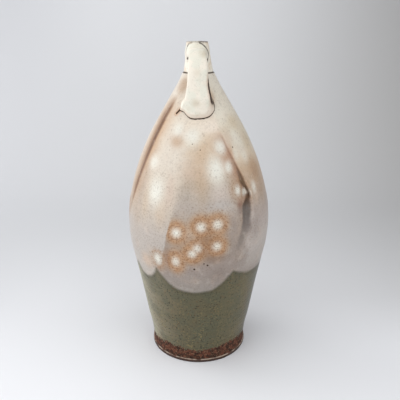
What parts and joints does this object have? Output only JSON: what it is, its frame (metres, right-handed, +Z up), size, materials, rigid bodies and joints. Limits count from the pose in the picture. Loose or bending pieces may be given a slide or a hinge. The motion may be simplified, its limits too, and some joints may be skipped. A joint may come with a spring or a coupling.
{
  "type": "jug",
  "caption": "Tall stoneware jug with an egg-shaped body, lapped shoulder folds, a narrow neck and a small strap handle from neck to shoulder.",
  "frame": {"origin": "on the pot's axis, at the plane that the foot stands on", "axes": "+Z up along the pot's axis, -Y towards the handle, +X to the right seen from the handle side"},
  "size_m": [0.1714, 0.1715, 0.38],
  "materials": {
    "bare_clay": "unglazed iron-red stoneware",
    "poured_glaze": "satin poured glaze, lilac grey to tan over speckled olive green",
    "collar_glaze": "cream satin glaze",
    "handle_glaze": "cream satin glaze, oxide dark in the joins"
  },
  "bodies": {
    "root": {"base_slab": "bare_clay", "body_wall": "poured_glaze", "neck_collar": "collar_glaze", "strap_handle": "handle_glaze"}
  },
  "joints": []
}
